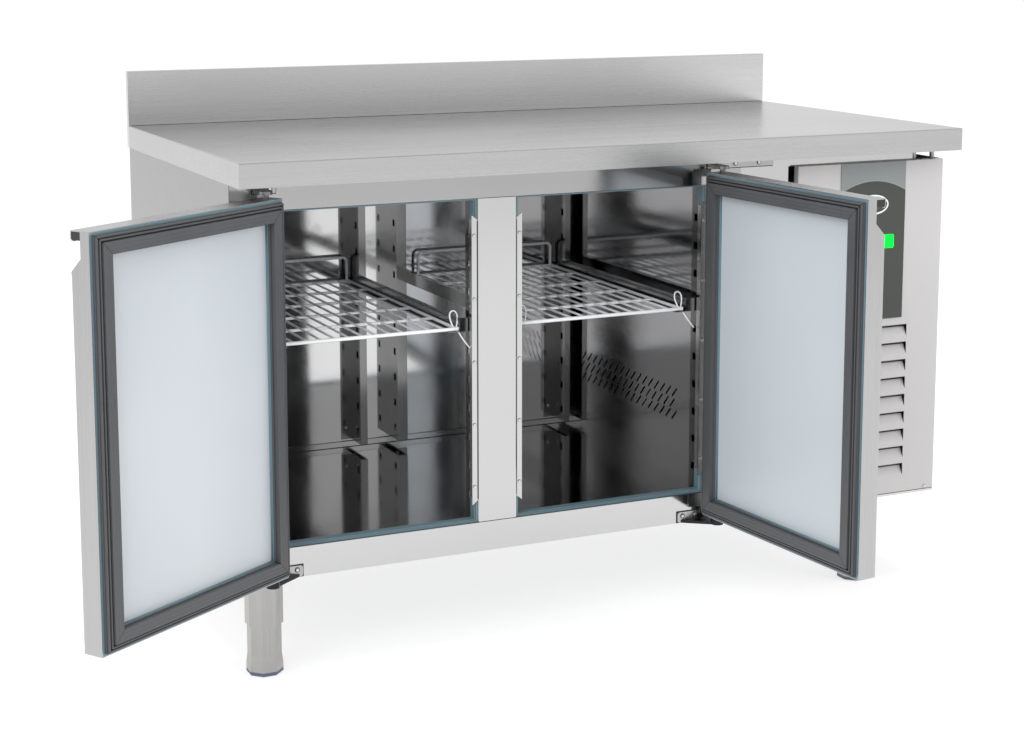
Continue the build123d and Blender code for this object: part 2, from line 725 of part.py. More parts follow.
def make_compressor_cover():
    """Removable louvred front with turned-in edges and a window behind the fascia."""
    back = BODY_FRONT - 1
    inner = COVER_FRONT + LINER
    cover = block(COVER_LEFT, COVER_RIGHT, COVER_FRONT, back, BODY_BOTTOM, COVER_TOP)
    cover = fillet(cover.edges().filter_by(Axis.Z).sort_by(Axis.Y)[:2], 2.0)
    cover -= block(
        COVER_LEFT + LINER, COVER_RIGHT - LINER, inner, back + 1, BODY_BOTTOM + LINER, COVER_TOP - LINER
    )
    cover -= block(*WINDOW_X, COVER_FRONT - 1, inner + 1, *WINDOW_Z)
    x0, x1 = LOUVRE_X
    for row in range(LOUVRE_COUNT):
        top = LOUVRE_TOP - row * LOUVRE_PITCH
        low = top - LOUVRE_HEIGHT
        cover -= block(x0, x1, COVER_FRONT - 1, inner + 0.01, low, top)
        # the blade leans in from its lower edge, so it leaves a slit above and at both ends
        blade = [
            (COVER_FRONT, low - 0.5),
            (inner, low - 0.5),
            (inner + LOUVRE_SET_BACK, top - LOUVRE_SLIT),
            (COVER_FRONT + LOUVRE_SET_BACK, top - LOUVRE_SLIT),
            (COVER_FRONT, low),
        ]
        cover += profile_along_x(blade, x0 + 0.8, x1 - 0.8)
    return cover


def make_control_fascia():
    """Control overlay with openings for the display and the three buttons."""
    x0, x1 = FASCIA_X
    z0, z1 = FASCIA_Z
    plate = block(x0, x1, COVER_FRONT - SHEET, COVER_FRONT, z0, z1)
    gap = 0.3
    display_x = (DISPLAY_X[0] - gap, DISPLAY_X[1] + gap)
    display_z = (DISPLAY_Z[0] - gap, DISPLAY_Z[1] + gap)
    plate -= block(*display_x, COVER_FRONT - 3, COVER_FRONT + 1, *display_z)
    plate -= make_power_button(gap)
    for x in KEY_XS:
        plate -= make_key(x, gap)
    return plate


def make_power_button(margin):
    """The oval power button, with a margin all round when it is used as a cutter."""
    front = COVER_FRONT - BUTTON_PROUD
    plane = Plane(origin=(FASCIA_CENTRE, front, POWER_Z), x_dir=(1, 0, 0), z_dir=(0, 1, 0))
    face = plane * Ellipse(POWER_HALF_WIDTH + margin, POWER_HALF_HEIGHT + margin)
    return extrude(face, BUTTON_LENGTH)


def make_key(x, margin):
    """A round controller key, with a margin all round when it is used as a cutter."""
    front = COVER_FRONT - BUTTON_PROUD
    return rod_y(x, front, front + BUTTON_LENGTH, KEY_Z, KEY_R + margin)


def make_display_window():
    """Lens of the temperature display."""
    lens = block(*DISPLAY_X, COVER_FRONT - 2, COVER_FRONT, *DISPLAY_Z)
    return fillet(lens.edges().filter_by(Axis.Y), 3.0)


def make_electrical_box():
    """Controller and terminal housing on the back of the cover, hollow behind the buttons."""
    front = COVER_FRONT + LINER
    x0, x1 = WINDOW_X
    housing = block(x0 - 7, x1 + 7, front, front + 60, 585, 745)
    return housing - block(x0, x1, front - 1, front + 6, 595, 735)


def make_cable_gland():
    """Gland in the rear panel that the mains cable enters through."""
    body = rod_y(1120, BODY_REAR - 12, BODY_REAR - SHEET, 230, 12)
    body += rod_y(1120, BODY_REAR - 2, BODY_REAR + 9, 230, 8.5)
    return body - rod_y(1120, BODY_REAR - 20, BODY_REAR + 20, 230, 4)


def make_compressor():
    """Hermetic compressor: welded shell, base plate and terminal cover."""
    x, y = COMPRESSOR_XY
    shell = Pos(x, y, 280) * Cylinder(80, 165)
    shell = fillet(shell.edges().filter_by(GeomType.CIRCLE), 34)
    shell += Pos(x, y, 285) * Cylinder(83, 8)
    plate = block(x - 95, x + 95, y - 75, y + 75, 190, 194)
    plate += rod_z(x, y, 190, 215, 50)
    terminal = block(x - 105, x - 70, y - 30, y + 30, 240, 310)
    return shell + plate + terminal


def make_compressor_mounts():
    """Rubber grommets under the compressor's base plate."""
    x, y = COMPRESSOR_XY
    spots = [(x + i * 82, y + j * 62) for i in (-1, 1) for j in (-1, 1)]
    return group([rod_z(a, b, BODY_BOTTOM + SHEET, 190, 11) for a, b in spots])


def make_condenser_coil():
    """Finned condenser block behind the louvres."""
    coil = block(1065, 1335, 110, 150, 205, 465)
    gaps = [block(1075 + i * 10, 1079 + i * 10, 109, 140, 212, 458) for i in range(26)]
    return coil - gaps


def make_condenser_shroud():
    """Fan shroud on the condenser, with its feet and with the motor on a bracket."""
    x, z = CONDENSER_FAN_XZ
    shroud = block(1065, 1335, 150, 200, 205, 465)
    shroud -= block(1068, 1332, 149, 197, 208, 462)
    shroud -= rod_y(x, 190, 205, z, CONDENSER_FAN_R + 5)
    for foot_x in (1065, 1315):
        shroud += block(foot_x, foot_x + 20, 150, 200, BODY_BOTTOM + SHEET, 205)
    bracket = block(1065, 1335, 236, 240, z - 14, z + 14)
    bracket += block(1065, 1069, 200, 240, z - 14, z + 14)
    bracket += block(1331, 1335, 200, 240, z - 14, z + 14)
    motor = rod_y(x, 220, 275, z, 38)
    bore = rod_y(x, 215, 240, z, 4 + PIN_CLEARANCE)
    return (shroud + bracket + motor) - bore


def fan_wheel(radius, hub, depth, blades):
    """A propeller along Z: a hub with tilted blades that reach out to the radius."""
    wheel = Cylinder(hub, depth)
    length = radius - hub * 0.5
    for number in range(blades):
        blade = Pos(hub * 0.5 + length / 2, 0, 0) * Rot(28, 0, 0) * Box(length, radius * 0.55, 2)
        wheel += Rot(0, 0, number * 360 / blades) * blade
    rim = Cylinder(radius, depth * 3) - Cylinder(hub * 0.4, depth * 4)
    return wheel & (rim + Cylinder(hub, depth))


def make_condenser_fan():
    """Condenser fan wheel with its spindle."""
    x, z = CONDENSER_FAN_XZ
    wheel = fan_wheel(CONDENSER_FAN_R, 30, 16, 5) + Pos(0, 0, 14) * Cylinder(4, 30)
    return Pos(x, 203, z) * Rot(-90, 0, 0) * wheel


def make_evaporation_tray():
    """Tray on the compartment floor that boils off the condensate."""
    tray = block(950, 1040, 300, 520, BODY_BOTTOM + SHEET, BODY_BOTTOM + 32)
    return tray - block(953, 1037, 303, 517, BODY_BOTTOM + 5, BODY_BOTTOM + 40)


def make_refrigerant_pipes():
    """Suction and discharge lines, and the liquid line with its drier."""
    x, y = COMPRESSOR_XY
    hole_y, hole_z = PIPE_HOLE
    high = hole_z + 7
    low = hole_z - 7
    routes = [
        [(898, hole_y, high), (1010, hole_y, high), (1010, hole_y, 340), (x - 77, y + 25, 340)],
        [(898, hole_y, low), (985, hole_y, low), (985, 180, low), (985, 180, 445), (1064, 140, 445)],
        [(x + 40, y - 72, 320), (1330, 300, 320), (1345, 300, 230), (1345, 125, 230), (1336, 125, 230)],
    ]
    pipes = []
    for route, bend in zip(routes, (14, 14, 4)):
        path = FilletPolyline(*route, radius=bend)
        start = Plane(origin=path @ 0, z_dir=path % 0)
        pipes.append(sweep(start * Circle(PIPE_R), path=path))
    drier = rod_y(985, 300, 400, low, 11)
    pipes[1] = pipes[1] + drier
    return group(pipes)


def make_evaporator_coil():
    """Finned evaporator in the side duct, on two brackets on the liner."""
    coil = block(868, 898, 400, 610, 420, 700)
    coil += block(898, INNER_RIGHT, 400, 410, 430, 690)
    coil += block(898, INNER_RIGHT, 600, 610, 430, 690)
    gaps = [block(867, 892, 406, 604, 426 + i * 10, 431 + i * 10) for i in range(27)]
    return coil - gaps


def make_evaporator_fan_frame():
    """Square fan housing behind the slots, with the motor on three spokes."""
    y, z = EVAPORATOR_FAN_YZ
    half = 60
    frame = block(DUCT_WALL + LINER, 898, y - half, y + half, z - half, z + half)
    frame -= rod_x(860, 900, y, z, EVAPORATOR_FAN_R + 3)
    motor = rod_x(888, 898, y, z, 20)
    for angle in (30, 150, 270):
        spoke = Pos(896, 0, 38) * Box(4, 6, 40)
        motor += Pos(0, y, z) * Rot(angle, 0, 0) * spoke
    return (frame + motor) - rod_x(884, 896, y, z, 3 + PIN_CLEARANCE)


def make_evaporator_fan():
    """Evaporator fan wheel with its spindle."""
    y, z = EVAPORATOR_FAN_YZ
    wheel = fan_wheel(EVAPORATOR_FAN_R, 18, 10, 5) + Pos(0, 0, 8) * Cylinder(3, 20)
    return Pos(877, y, z) * Rot(0, 90, 0) * wheel


def make_screws():
    """Pan-head screws and rivets, all one size: heads only, each on its own surface."""
    radius = 3.2
    height = 2.0
    heads = []

    def head(point, direction):
        cap = Pos(0, 0, height / 2) * Cylinder(radius, height)
        cap = fillet(cap.faces().sort_by(Axis.Z)[-1].edges(), 1.2)
        heads.append(Plane(origin=point, z_dir=direction) * cap)

    plate_y = BODY_FRONT - 2.5
    for hinge_x, side in zip(HINGE_XS, (1, -1)):
        for step in (27, 52):
            head((hinge_x + side * step, plate_y, BODY_BOTTOM + 13), (0, -1, 0))
    for x in (67, 917, 965):
        head((x, plate_y, BODY_TOP - 9), (0, -1, 0))
    for web, side, _ in POST_WEBS:
        head((web + side * 10, INNER_REAR - SHEET, INNER_FLOOR + 38), (0, -1, 0))
    for x0, x1 in OPENINGS:
        for wall, side in ((x0, 1), (x1, -1)):
            for row in range(5):
                head((wall + side * 5.5, STRIP_FRONT, 276 + row * STRIP_SCREW_PITCH), (0, -1, 0))
    for x in (1060, 1197, 1335):
        head((x, COVER_FRONT, BODY_BOTTOM + 10), (0, -1, 0))
    return group(heads)


# ---------------------------------------------------------------- assembly


def opened(shape, hinge_x, angle):
    """Swing a shut door about its hinge line, by an angle about +Z."""
    return Pos(hinge_x, HINGE_Y, 0) * Rot(0, 0, angle) * Pos(-hinge_x, -HINGE_Y, 0) * shape


def make_doors():
    """Every piece of both doors, each swung to its open rest position."""
    pieces = {}
    swings = (-LEFT_OPEN, RIGHT_OPEN)
    for name, span, hinge_x, angle in zip(("left", "right"), DOOR_SPANS, HINGE_XS, swings):
        x0, x1 = span
        shapes = {
            "skin": make_door_skin(x0, x1, hinge_x),
            "handle": make_door_handle(x0, x1, hinge_x),
            "foam": make_door_foam(x0, x1, hinge_x),
            "edge_frame": make_door_edge_frame(x0, x1),
            "liner": make_door_liner(x0, x1),
            "gasket": make_door_gasket(x0, x1),
        }
        for piece, shape in shapes.items():
            pieces[f"{name}_door_{piece}"] = opened(shape, hinge_x, angle)
    return pieces


def make_all():
    """Every node by name, in the drawing's own frame."""
    nodes = {
        "worktop": make_worktop(),
        "upstand": make_upstand(),
        "worktop_core": make_worktop_core(),
        "worktop_spacers": make_worktop_spacers(),
        "side_panels": make_side_panels(),
        "rear_panel": make_rear_panel(),
        "base_panels": make_base_panels(),
        "partition_panel": make_partition_panel(),
        "insulation_foam": make_insulation(),
        "top_rail": make_top_rail(),
        "lower_rail": make_lower_rail(),
        "door_jambs": make_jambs(),
        "mullion": make_mullion(),
        "thermal_breaks": make_thermal_breaks(),
        "jamb_strips": make_jamb_strips(),
        "inner_liner": make_inner_liner(),
        "evaporator_cover": make_evaporator_cover(),
        "front_rack_rails": make_front_rack_rails(),
        "rear_rack_posts": make_rear_rack_posts(),
        "shelf_runners": make_shelf_runners(),
        "left_shelf": make_shelf(SHELF_LEFTS[0]),
        "right_shelf": make_shelf(SHELF_LEFTS[1]),
        "hinge_brackets": make_hinge_brackets(),
        "leg_tubes": make_leg_tubes(),
        "compartment_front_panel": make_compartment_front(),
        "compressor_cover": make_compressor_cover(),
        "control_fascia": make_control_fascia(),
        "display_window": make_display_window(),
        "power_button": make_power_button(0.0),
        "left_key": make_key(KEY_XS[0], 0.0),
        "right_key": make_key(KEY_XS[1], 0.0),
        "electrical_box": make_electrical_box(),
        "cable_gland": make_cable_gland(),
        "compressor": make_compressor(),
        "compressor_mounts": make_compressor_mounts(),
        "condenser_coil": make_condenser_coil(),
        "condenser_fan_shroud": make_condenser_shroud(),
        "condenser_fan": make_condenser_fan(),
        "evaporation_tray": make_evaporation_tray(),
        "refrigerant_pipes": make_refrigerant_pipes(),
        "evaporator_coil": make_evaporator_coil(),
        "evaporator_fan_frame": make_evaporator_fan_frame(),
        "evaporator_fan": make_evaporator_fan(),
        "screws": make_screws(),
    }
    for side, x in zip(("left", "right"), LEG_XS):
        for end, y in zip(("front", "rear"), LEG_YS):
            nodes[f"{end}_{side}_foot"] = make_foot(x, y)
    nodes.update(make_doors())
    return nodes


def outline_centre():
    """The middle of the floor outline with both doors open, worked out from their corners."""
    corners_x = [WORKTOP_LENGTH]
    corners_y = [WORKTOP_DEPTH]
    swings = (-LEFT_OPEN, RIGHT_OPEN)
    for span, hinge_x, angle in zip(DOOR_SPANS, HINGE_XS, swings):
        turn = math.radians(angle)
        for x in span:
            for y in (DOOR_FRONT, DOOR_BACK):
                dx = x - hinge_x
                dy = y - HINGE_Y
                corners_x.append(hinge_x + dx * math.cos(turn) - dy * math.sin(turn))
                corners_y.append(HINGE_Y + dx * math.sin(turn) + dy * math.cos(turn))
    return (min(corners_x) + max(corners_x)) / 2, (min(corners_y) + max(corners_y)) / 2


def main():
    """Write one STEP file per node, with the origin in the middle of the floor outline.

    The shift is applied to every solid. On a group it would be lost by a boolean between two nodes.
    """
    os.makedirs("parts", exist_ok=True)
    centre_x, centre_y = outline_centre()
    shift = Pos(-centre_x, -centre_y, 0)
    for name, shape in make_all().items():
        export_step(group([shift * solid for solid in shape.solids()]), f"parts/{name}.step")


main()
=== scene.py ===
import json
import math

import bmesh
import bpy
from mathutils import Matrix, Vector


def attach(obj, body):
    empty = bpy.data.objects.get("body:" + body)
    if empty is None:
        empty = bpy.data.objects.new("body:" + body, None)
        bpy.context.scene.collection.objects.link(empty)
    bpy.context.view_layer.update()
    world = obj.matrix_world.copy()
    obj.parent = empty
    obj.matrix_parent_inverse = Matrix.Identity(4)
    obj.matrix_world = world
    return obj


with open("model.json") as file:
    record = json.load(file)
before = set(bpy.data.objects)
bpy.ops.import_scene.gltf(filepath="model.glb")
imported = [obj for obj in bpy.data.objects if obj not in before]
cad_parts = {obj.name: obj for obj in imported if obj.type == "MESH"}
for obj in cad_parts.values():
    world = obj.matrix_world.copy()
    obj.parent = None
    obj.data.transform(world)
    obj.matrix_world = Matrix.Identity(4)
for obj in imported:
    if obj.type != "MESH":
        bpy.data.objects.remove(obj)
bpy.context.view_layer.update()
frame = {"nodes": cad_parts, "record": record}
nodes = frame["nodes"]

# The row's origin in the shut-door drawing frame, in millimetres: X from the worktop's left
# end, Y from its front edge, Z from the floor.
ORIGIN_X = 530.0143670030843
ORIGIN_Y = 152.5503947111056
HINGE_Y = 25.0
HINGE_X = {"left": 50.0, "right": 872.0}
SWING = {"left": math.radians(-147.0), "right": math.radians(95.2)}
SPAN = {"left": (38.0, 459.5), "right": (462.5, 884.0)}
DOOR_LOW = 181.0
DOOR_HIGH = 791.0

# Faces and lines of the cabinet that the small pieces are placed on.
FRAME_FRONT = 60.0
OPENING_LOW = 214.0
OPENING_HIGH = 766.0
HINGE_PLATE_FRONT = 57.5
COVER_LEFT = 1042.0
COVER_FOOT = 163.2
BUTTON_X = 1201.0
BUTTON_Z = 713.0
KEY_Z = 608.0

# The main view: millimetres in the drawing frame, then degrees, millimetres of lens and the shift.
CAMERA_PLACE = (-877.6, -2874.0, 1185.6)
CAMERA_PITCH = -8.66
CAMERA_YAW = 24.95
CAMERA_LENS = 69.06
CAMERA_SHIFT = -0.13

# Each lamp's name, place, target, width in metres and power in watts.
LAMPS = (
    ("key", (-3.6, -3.2, 3.6), (0.1, 0.2, 0.5), 3.2, 150),
    ("fill", (3.8, -3.0, 2.4), (0.2, 0.1, 0.5), 3.0, 70),
    ("top", (0.2, 0.6, 4.2), (0.2, 0.2, 0.8), 3.6, 110),
)

# Short names of the shader's sockets.
SOCKETS = {
    "colour": "Base Color",
    "rough": "Roughness",
    "metal": "Metallic",
    "coat": "Coat Weight",
    "coat_rough": "Coat Roughness",
    "specular": "Specular IOR Level",
    "glow": "Emission Color",
    "glow_strength": "Emission Strength",
}


def at(x, y, z):
    """A drawing-frame point, in millimetres, as a row-frame point in metres."""
    return Vector(((x - ORIGIN_X) / 1000, (y - ORIGIN_Y) / 1000, z / 1000))


def on_door(side, x, y, z):
    """A point of a shut door, in millimetres, where the open door has it in the row frame."""
    c, s = math.cos(SWING[side]), math.sin(SWING[side])
    dx, dy = x - HINGE_X[side], y - HINGE_Y
    return at(HINGE_X[side] + dx * c - dy * s, HINGE_Y + dx * s + dy * c, z)


# ---------------------------------------------------------------- shader building blocks


class Look:
    """A node material with short helpers; every texture works from object coordinates."""

    def __init__(self, name):
        self.material = bpy.data.materials.new(name)
        self.material.use_nodes = True
        self.tree = self.material.node_tree
        self.shader = self.tree.nodes["Principled BSDF"]
        self.coords = self.tree.nodes.new("ShaderNodeTexCoord").outputs["Object"]

    def node(self, kind, **inputs):
        made = self.tree.nodes.new(kind)
        for key, value in inputs.items():
            self.plug(value, made.inputs[key])
        return made

    def plug(self, value, socket):
        if isinstance(value, bpy.types.NodeSocket):
            self.tree.links.new(value, socket)
        else:
            socket.default_value = value

    def math(self, operation, a, b=0.0, c=0.0):
        made = self.tree.nodes.new("ShaderNodeMath")
        made.operation = operation
        for socket, value in zip(made.inputs, (a, b, c)):
            self.plug(value, socket)
        return made.outputs[0]

    def stretched(self, scale, offset=(0, 0, 0), vector=None):
        made = self.node("ShaderNodeMapping", Vector=vector or self.coords)
        made.inputs["Scale"].default_value = scale
        made.inputs["Location"].default_value = offset
        return made.outputs[0]

    def noise(self, scale, detail=3.0, rough=0.5, offset=(0, 0, 0)):
        """Noise with one scale per axis, in cells per metre."""
        made = self.node("ShaderNodeTexNoise", Vector=self.stretched(scale, offset))
        made.inputs["Scale"].default_value = 1.0
        made.inputs["Detail"].default_value = detail
        made.inputs["Roughness"].default_value = rough
        return made.outputs["Fac"]

    def remap(self, value, low, high, to_low, to_high, smooth=False):
        made = self.tree.nodes.new("ShaderNodeMapRange")
        made.interpolation_type = "SMOOTHSTEP" if smooth else "LINEAR"
        for socket, item in zip(made.inputs, (value, low, high, to_low, to_high)):
            self.plug(item, socket)
        return made.outputs[0]

    def mix(self, factor, a, b):
        made = self.tree.nodes.new("ShaderNodeMix")
        made.data_type = "RGBA"
        self.plug(factor, made.inputs[0])
        self.plug(a if isinstance(a, bpy.types.NodeSocket) else (*a, 1), made.inputs[6])
        self.plug(b if isinstance(b, bpy.types.NodeSocket) else (*b, 1), made.inputs[7])
        return made.outputs[2]

    def axes(self, vector=None):
        made = self.node("ShaderNodeSeparateXYZ", Vector=vector or self.coords)
        return made.outputs[0], made.outputs[1], made.outputs[2]

    def bump(self, height, distance, strength=1.0):
        made = self.tree.nodes.new("ShaderNodeBump")
        made.inputs["Strength"].default_value = strength
        made.inputs["Distance"].default_value = distance
        self.plug(height, made.inputs["Height"])
        self.plug(made.outputs[0], self.shader.inputs["Normal"])

    def set(self, **values):
        for key, value in values.items():
            socket = self.shader.inputs[SOCKETS[key]]
            if isinstance(value, tuple):
                value = (*value, 1.0)
            self.plug(value, socket)


def grain_scale(grain, along, across):
    return tuple(along if axis == grain else across for axis in "XYZ")


def brushed(name, colour, rough, grain, spread=0.05, depth=0.000005, smudge=0.05):
    """Satin steel: fine streaks along one axis, long faint bands, and handling marks."""
    look = Look(name)
    fine = look.noise(grain_scale(grain, 5, 700), 2.0, 0.6)
    bands = look.noise(grain_scale(grain, 0.35, 45), 3.0, 0.6, (3, 1, 2))
    cloud = look.noise((2.1, 2.3, 2.7), 3.0, 0.5, (7, 5, 1))
    streak = look.math("ADD", look.math("MULTIPLY", fine, 0.6), look.math("MULTIPLY", bands, 0.4))
    dark = tuple(c * (1 - spread) for c in colour)
    light = tuple(min(1.0, c * (1 + spread)) for c in colour)
    look.set(colour=look.mix(look.remap(streak, 0.35, 0.65, 0, 1), dark, light), metal=1.0)
    marks = look.remap(cloud, 0.4, 0.7, 0.0, smudge, True)
    streaks = look.remap(streak, 0.3, 0.7, rough - 0.03, rough + 0.04)
    look.set(rough=look.math("ADD", streaks, marks))
    look.bump(streak, depth)
    return look


def mirror_steel(name, colour, rough, smudge=0.05, sway=0.0011):
    """Bright annealed sheet: nearly a mirror, slightly wavy, with faint wiping marks."""
    look = Look(name)
    wave = look.noise((4.5, 4.5, 3.5), 1.0, 0.4)
    wipes = look.noise((9, 2.0, 8), 3.0, 0.5, (2, 9, 4))
    fine = look.noise((240, 30, 240), 2.0, 0.5)
    marks = look.remap(wipes, 0.4, 0.75, 0.0, smudge, True)
    look.set(colour=look.mix(wave, tuple(c * 0.94 for c in colour), colour), metal=1.0)
    look.set(rough=look.math("ADD", look.remap(fine, 0.3, 0.7, rough - 0.012, rough + 0.012), marks))
    look.bump(wave, sway, 0.6)
    return look


def plastic(name, colour, rough, texture=900.0, depth=0.00003, coat=0.0, mottle=0.06):
    """Moulded plastic or rubber with a fine texture and a little unevenness."""
    look = Look(name)
    grain = look.noise((texture, texture, texture), 2.0, 0.5)
    cloud = look.noise((9, 8, 7), 3.0, 0.6)
    dark = tuple(c * (1 - mottle) for c in colour)
    light = tuple(min(1.0, c * (1 + mottle)) for c in colour)
    look.set(colour=look.mix(cloud, dark, light), coat=coat)
    look.set(rough=look.remap(cloud, 0.3, 0.7, rough - 0.04, rough + 0.06))
    look.bump(grain, depth)
    return look


def bare_metal(name, colour, rough, scale=(60, 60, 60), spread=0.1):
    """Cast, drawn or plated metal without a brushing direction."""
    look = Look(name)
    cloud = look.noise(scale, 4.0, 0.6)
    dark = tuple(c * (1 - spread) for c in colour)
    look.set(colour=look.mix(cloud, dark, colour), metal=1.0)
    look.set(rough=look.remap(cloud, 0.3, 0.7, rough - 0.05, rough + 0.08))
    look.bump(cloud, 0.00005)
    return look


def painted(name, colour, rough, peel=420.0):
    """Powder-coated sheet with a light orange peel."""
    look = Look(name)
    skin = look.noise((peel, peel, peel), 2.0, 0.5)
    cloud = look.noise((2.3, 2.9, 2.5), 3.0, 0.6)
    look.set(colour=look.mix(cloud, tuple(c * 0.97 for c in colour), colour))
    look.set(rough=look.remap(cloud, 0.3, 0.7, rough - 0.04, rough + 0.05), coat=0.15, coat_rough=0.3)
    look.bump(skin, 0.00006)
    return look


# ---------------------------------------------------------------- particular materials


def door_axes(look, side):
    """Coordinates in the shut door's own frame, in metres, measured from its hinge line."""
    hinge = at(HINGE_X[side], HINGE_Y, 0)
    shift = look.stretched((1, 1, 1), (-hinge.x, -hinge.y, 0))
    turn = look.node("ShaderNodeMapping", Vector=shift)
    turn.inputs["Rotation"].default_value = (0, 0, -SWING[side])
    return look.axes(turn.outputs[0])


def from_middle(look, side):
    """Distances from the middle of a door, across and up, both positive."""
    x, _, z = door_axes(look, side)
    x0, x1 = SPAN[side]
    centre = (x0 + x1) / 2 - HINGE_X[side]
    across = look.math("ABSOLUTE", look.math("SUBTRACT", x, centre / 1000))
    up = look.math("ABSOLUTE", look.math("SUBTRACT", z, (DOOR_LOW + DOOR_HIGH) / 2000))
    return across, up


def gasket_look(side):
    """Dark magnetic seal: thin ribs round the frame, their crests painted a little lighter as a painted
    highlight, and a mitre line in each corner.
    """
    look = Look(f"{side}_gasket_rubber")
    across, up = from_middle(look, side)
    x0, x1 = SPAN[side]
    edge_x = look.math("SUBTRACT", (x1 - x0) / 2000, across)
    edge_z = look.math("SUBTRACT", (DOOR_HIGH - DOOR_LOW) / 2000, up)
    inset = look.math("MINIMUM", edge_x, edge_z)
    rib_pitch = 0.006
    rib = look.math("SINE", look.math("MULTIPLY", inset, 2 * math.pi / rib_pitch))
    gap = look.math("ABSOLUTE", look.math("SUBTRACT", edge_x, edge_z))
    mitre = look.math("LESS_THAN", gap, 0.0008)
    cloud = look.noise((12, 12, 9), 3.0, 0.6)
    body = look.mix(cloud, (0.056, 0.058, 0.062), (0.085, 0.087, 0.092))
    # the rib crests are painted lighter: a painted highlight along the ribs
    ribs_with_painted_sheen = look.mix(look.remap(rib, 0.2, 1.0, 0.0, 0.10, True), body, (0.14, 0.145, 0.15))
    look.set(colour=look.mix(mitre, ribs_with_painted_sheen, (0.02, 0.02, 0.022)))
    look.set(rough=look.remap(cloud, 0.3, 0.7, 0.42, 0.55))
    look.bump(look.math("ADD", rib, look.math("MULTIPLY", cloud, 0.3)), 0.00010)
    return look


def door_liner_look(side, near, far):
    """Satin pale-blue inner panel, a touch lighter where the light pools."""
    look = Look(f"{side}_door_liner_plastic")
    across, up = from_middle(look, side)
    spread = look.math("ADD", look.math("MULTIPLY", across, 2.4), look.math("MULTIPLY", up, 1.5))
    peel = look.noise((260, 260, 260), 2.0, 0.5)
    cloud = look.noise((3, 3, 2.4), 3.0, 0.5)
    look.set(colour=look.mix(look.remap(spread, 0.0, 0.8, 0, 1, True), near, far))
    look.set(rough=look.remap(cloud, 0.3, 0.7, 0.30, 0.38), coat=0.25, coat_rough=0.2)
    look.bump(peel, 0.00004)
    return look


def foot_look():
    """Satin steel leg that ends in a grey-blue plastic cap at the floor."""
    look = brushed("leg_steel", (0.39, 0.385, 0.375), 0.22, "Z", 0.07)
    _, _, z = look.axes()
    cap_height = 0.0068
    cap = look.math("LESS_THAN", z, cap_height)
    steel = look.shader.inputs["Base Color"].links[0].from_socket
    rough = look.shader.inputs["Roughness"].links[0].from_socket
    look.set(colour=look.mix(cap, steel, (0.085, 0.105, 0.15)))
    look.set(metal=look.math("SUBTRACT", 1.0, cap))
    look.set(rough=look.remap(cap, 0, 1, rough, 0.5))
    return look


def hinge_look():
    """Plated brackets; the arms are painted darker as painted shade in the gaps by the doors, and those
    under the doors near black as painted shadow.
    """
    look = bare_metal("hinge_steel", (0.42, 0.42, 0.42), 0.22)
    _, y, z = look.axes()
    below_the_doors = 0.3
    arm = look.math("LESS_THAN", y, at(0, HINGE_PLATE_FRONT - 0.2, 0).y)
    under = look.math("LESS_THAN", z, below_the_doors)
    plated = look.shader.inputs["Base Color"].links[0].from_socket
    # arm colours are painted shade: mid grey in the gaps above the doors, near black as painted shadow
    # under them
    arms = look.mix(under, (0.22, 0.22, 0.22), (0.03, 0.03, 0.032))
    look.set(colour=look.mix(arm, plated, arms))
    return look


def fascia_look():
    """Printed control overlay: a dark field under an arch, and a paler header above it."""
    look = Look("fascia_film")
    x, _, z = look.axes()
    arch_top, arch_reach, arch_drop = 0.757, 0.070, 0.019
    offset = look.math("DIVIDE", look.math("SUBTRACT", x, at(BUTTON_X, 0, 0).x), arch_reach)
    fall = look.math("MULTIPLY", look.math("POWER", offset, 2.0), arch_drop)
    arch = look.math("SUBTRACT", arch_top, fall)
    above = look.math("GREATER_THAN", z, arch)
    line = look.math("LESS_THAN", look.math("ABSOLUTE", look.math("SUBTRACT", z, arch)), 0.0009)
    grain = look.noise((700, 700, 700), 2.0, 0.5)
    cloud = look.noise((6, 6, 5), 3.0, 0.6)
    field = look.mix(cloud, (0.050, 0.053, 0.047), (0.060, 0.063, 0.057))
    printed = look.mix(above, field, (0.23, 0.25, 0.255))
    look.set(colour=look.mix(line, printed, (0.28, 0.29, 0.29)), specular=0.35)
    look.set(rough=look.remap(cloud, 0.3, 0.7, 0.36, 0.46))
    look.bump(grain, 0.00003)
    return look


def display_look():
    """Green lit window with a faint segment grid."""
    look = Look("display_lens")
    x, _, z = look.axes()
    grid = look.math("SINE", look.math("MULTIPLY", x, 2 * math.pi / 0.012))
    rows = look.math("SINE", look.math("MULTIPLY", z, 2 * math.pi / 0.011))
    cells = look.remap(look.math("MULTIPLY", grid, rows), -1, 1, 0.0, 0.22)
    colour = look.mix(cells, (0.0, 0.88, 0.04), (0.0, 1.0, 0.10))
    dust = look.noise((400, 400, 400), 2.0, 0.5)
    look.set(colour=colour, glow=colour, glow_strength=0.75, specular=0.1)
    look.set(rough=look.remap(dust, 0.3, 0.7, 0.16, 0.22))
    look.bump(dust, 0.00001)
    return look


def breaks_look():
    """Blue-grey plastic lining with a paler ridge line along it."""
    look = plastic("break_plastic", (0.13, 0.215, 0.25), 0.32)
    _, y, _ = look.axes()
    depth = look.math("SUBTRACT", y, at(0, 61, 0).y)
    ridge = look.math("LESS_THAN", look.math("ABSOLUTE", look.math("SUBTRACT", depth, 0.009)), 0.0012)
    base = look.shader.inputs["Base Color"].links[0].from_socket
    look.set(colour=look.mix(ridge, base, (0.34, 0.43, 0.47)))
    return look


